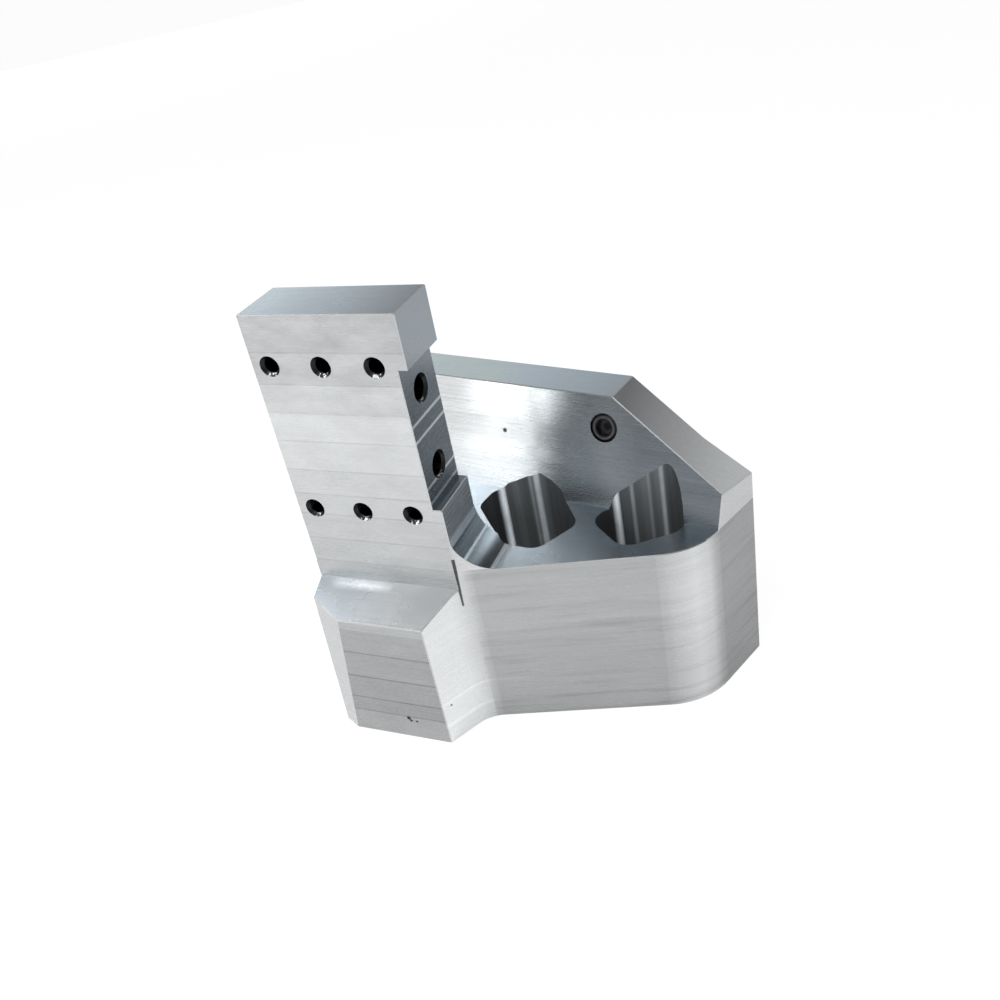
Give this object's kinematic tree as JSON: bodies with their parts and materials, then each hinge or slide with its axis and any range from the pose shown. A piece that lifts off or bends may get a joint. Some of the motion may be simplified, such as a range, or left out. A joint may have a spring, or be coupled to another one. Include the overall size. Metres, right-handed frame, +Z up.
{
  "type": "machined mounting bracket",
  "caption": "Milled aluminium bracket: an upright post with tapped mounting faces on a block with through pockets and a sloped-end back wall.",
  "frame": {"origin": "foot of the post's front mounting face, midway across the post's width, on the base plane", "axes": "+X right along the front mounting face, +Y back into the part, +Z up from the base"},
  "size_m": [0.1942, 0.141, 0.218],
  "materials": {
    "machined_aluminium": "bare milled aluminium with fine cutter marks",
    "black_oxide_steel": "black oxide"
  },
  "bodies": {
    "root": {"bracket_body": "machined_aluminium", "socket_screw": "black_oxide_steel"}
  },
  "joints": []
}
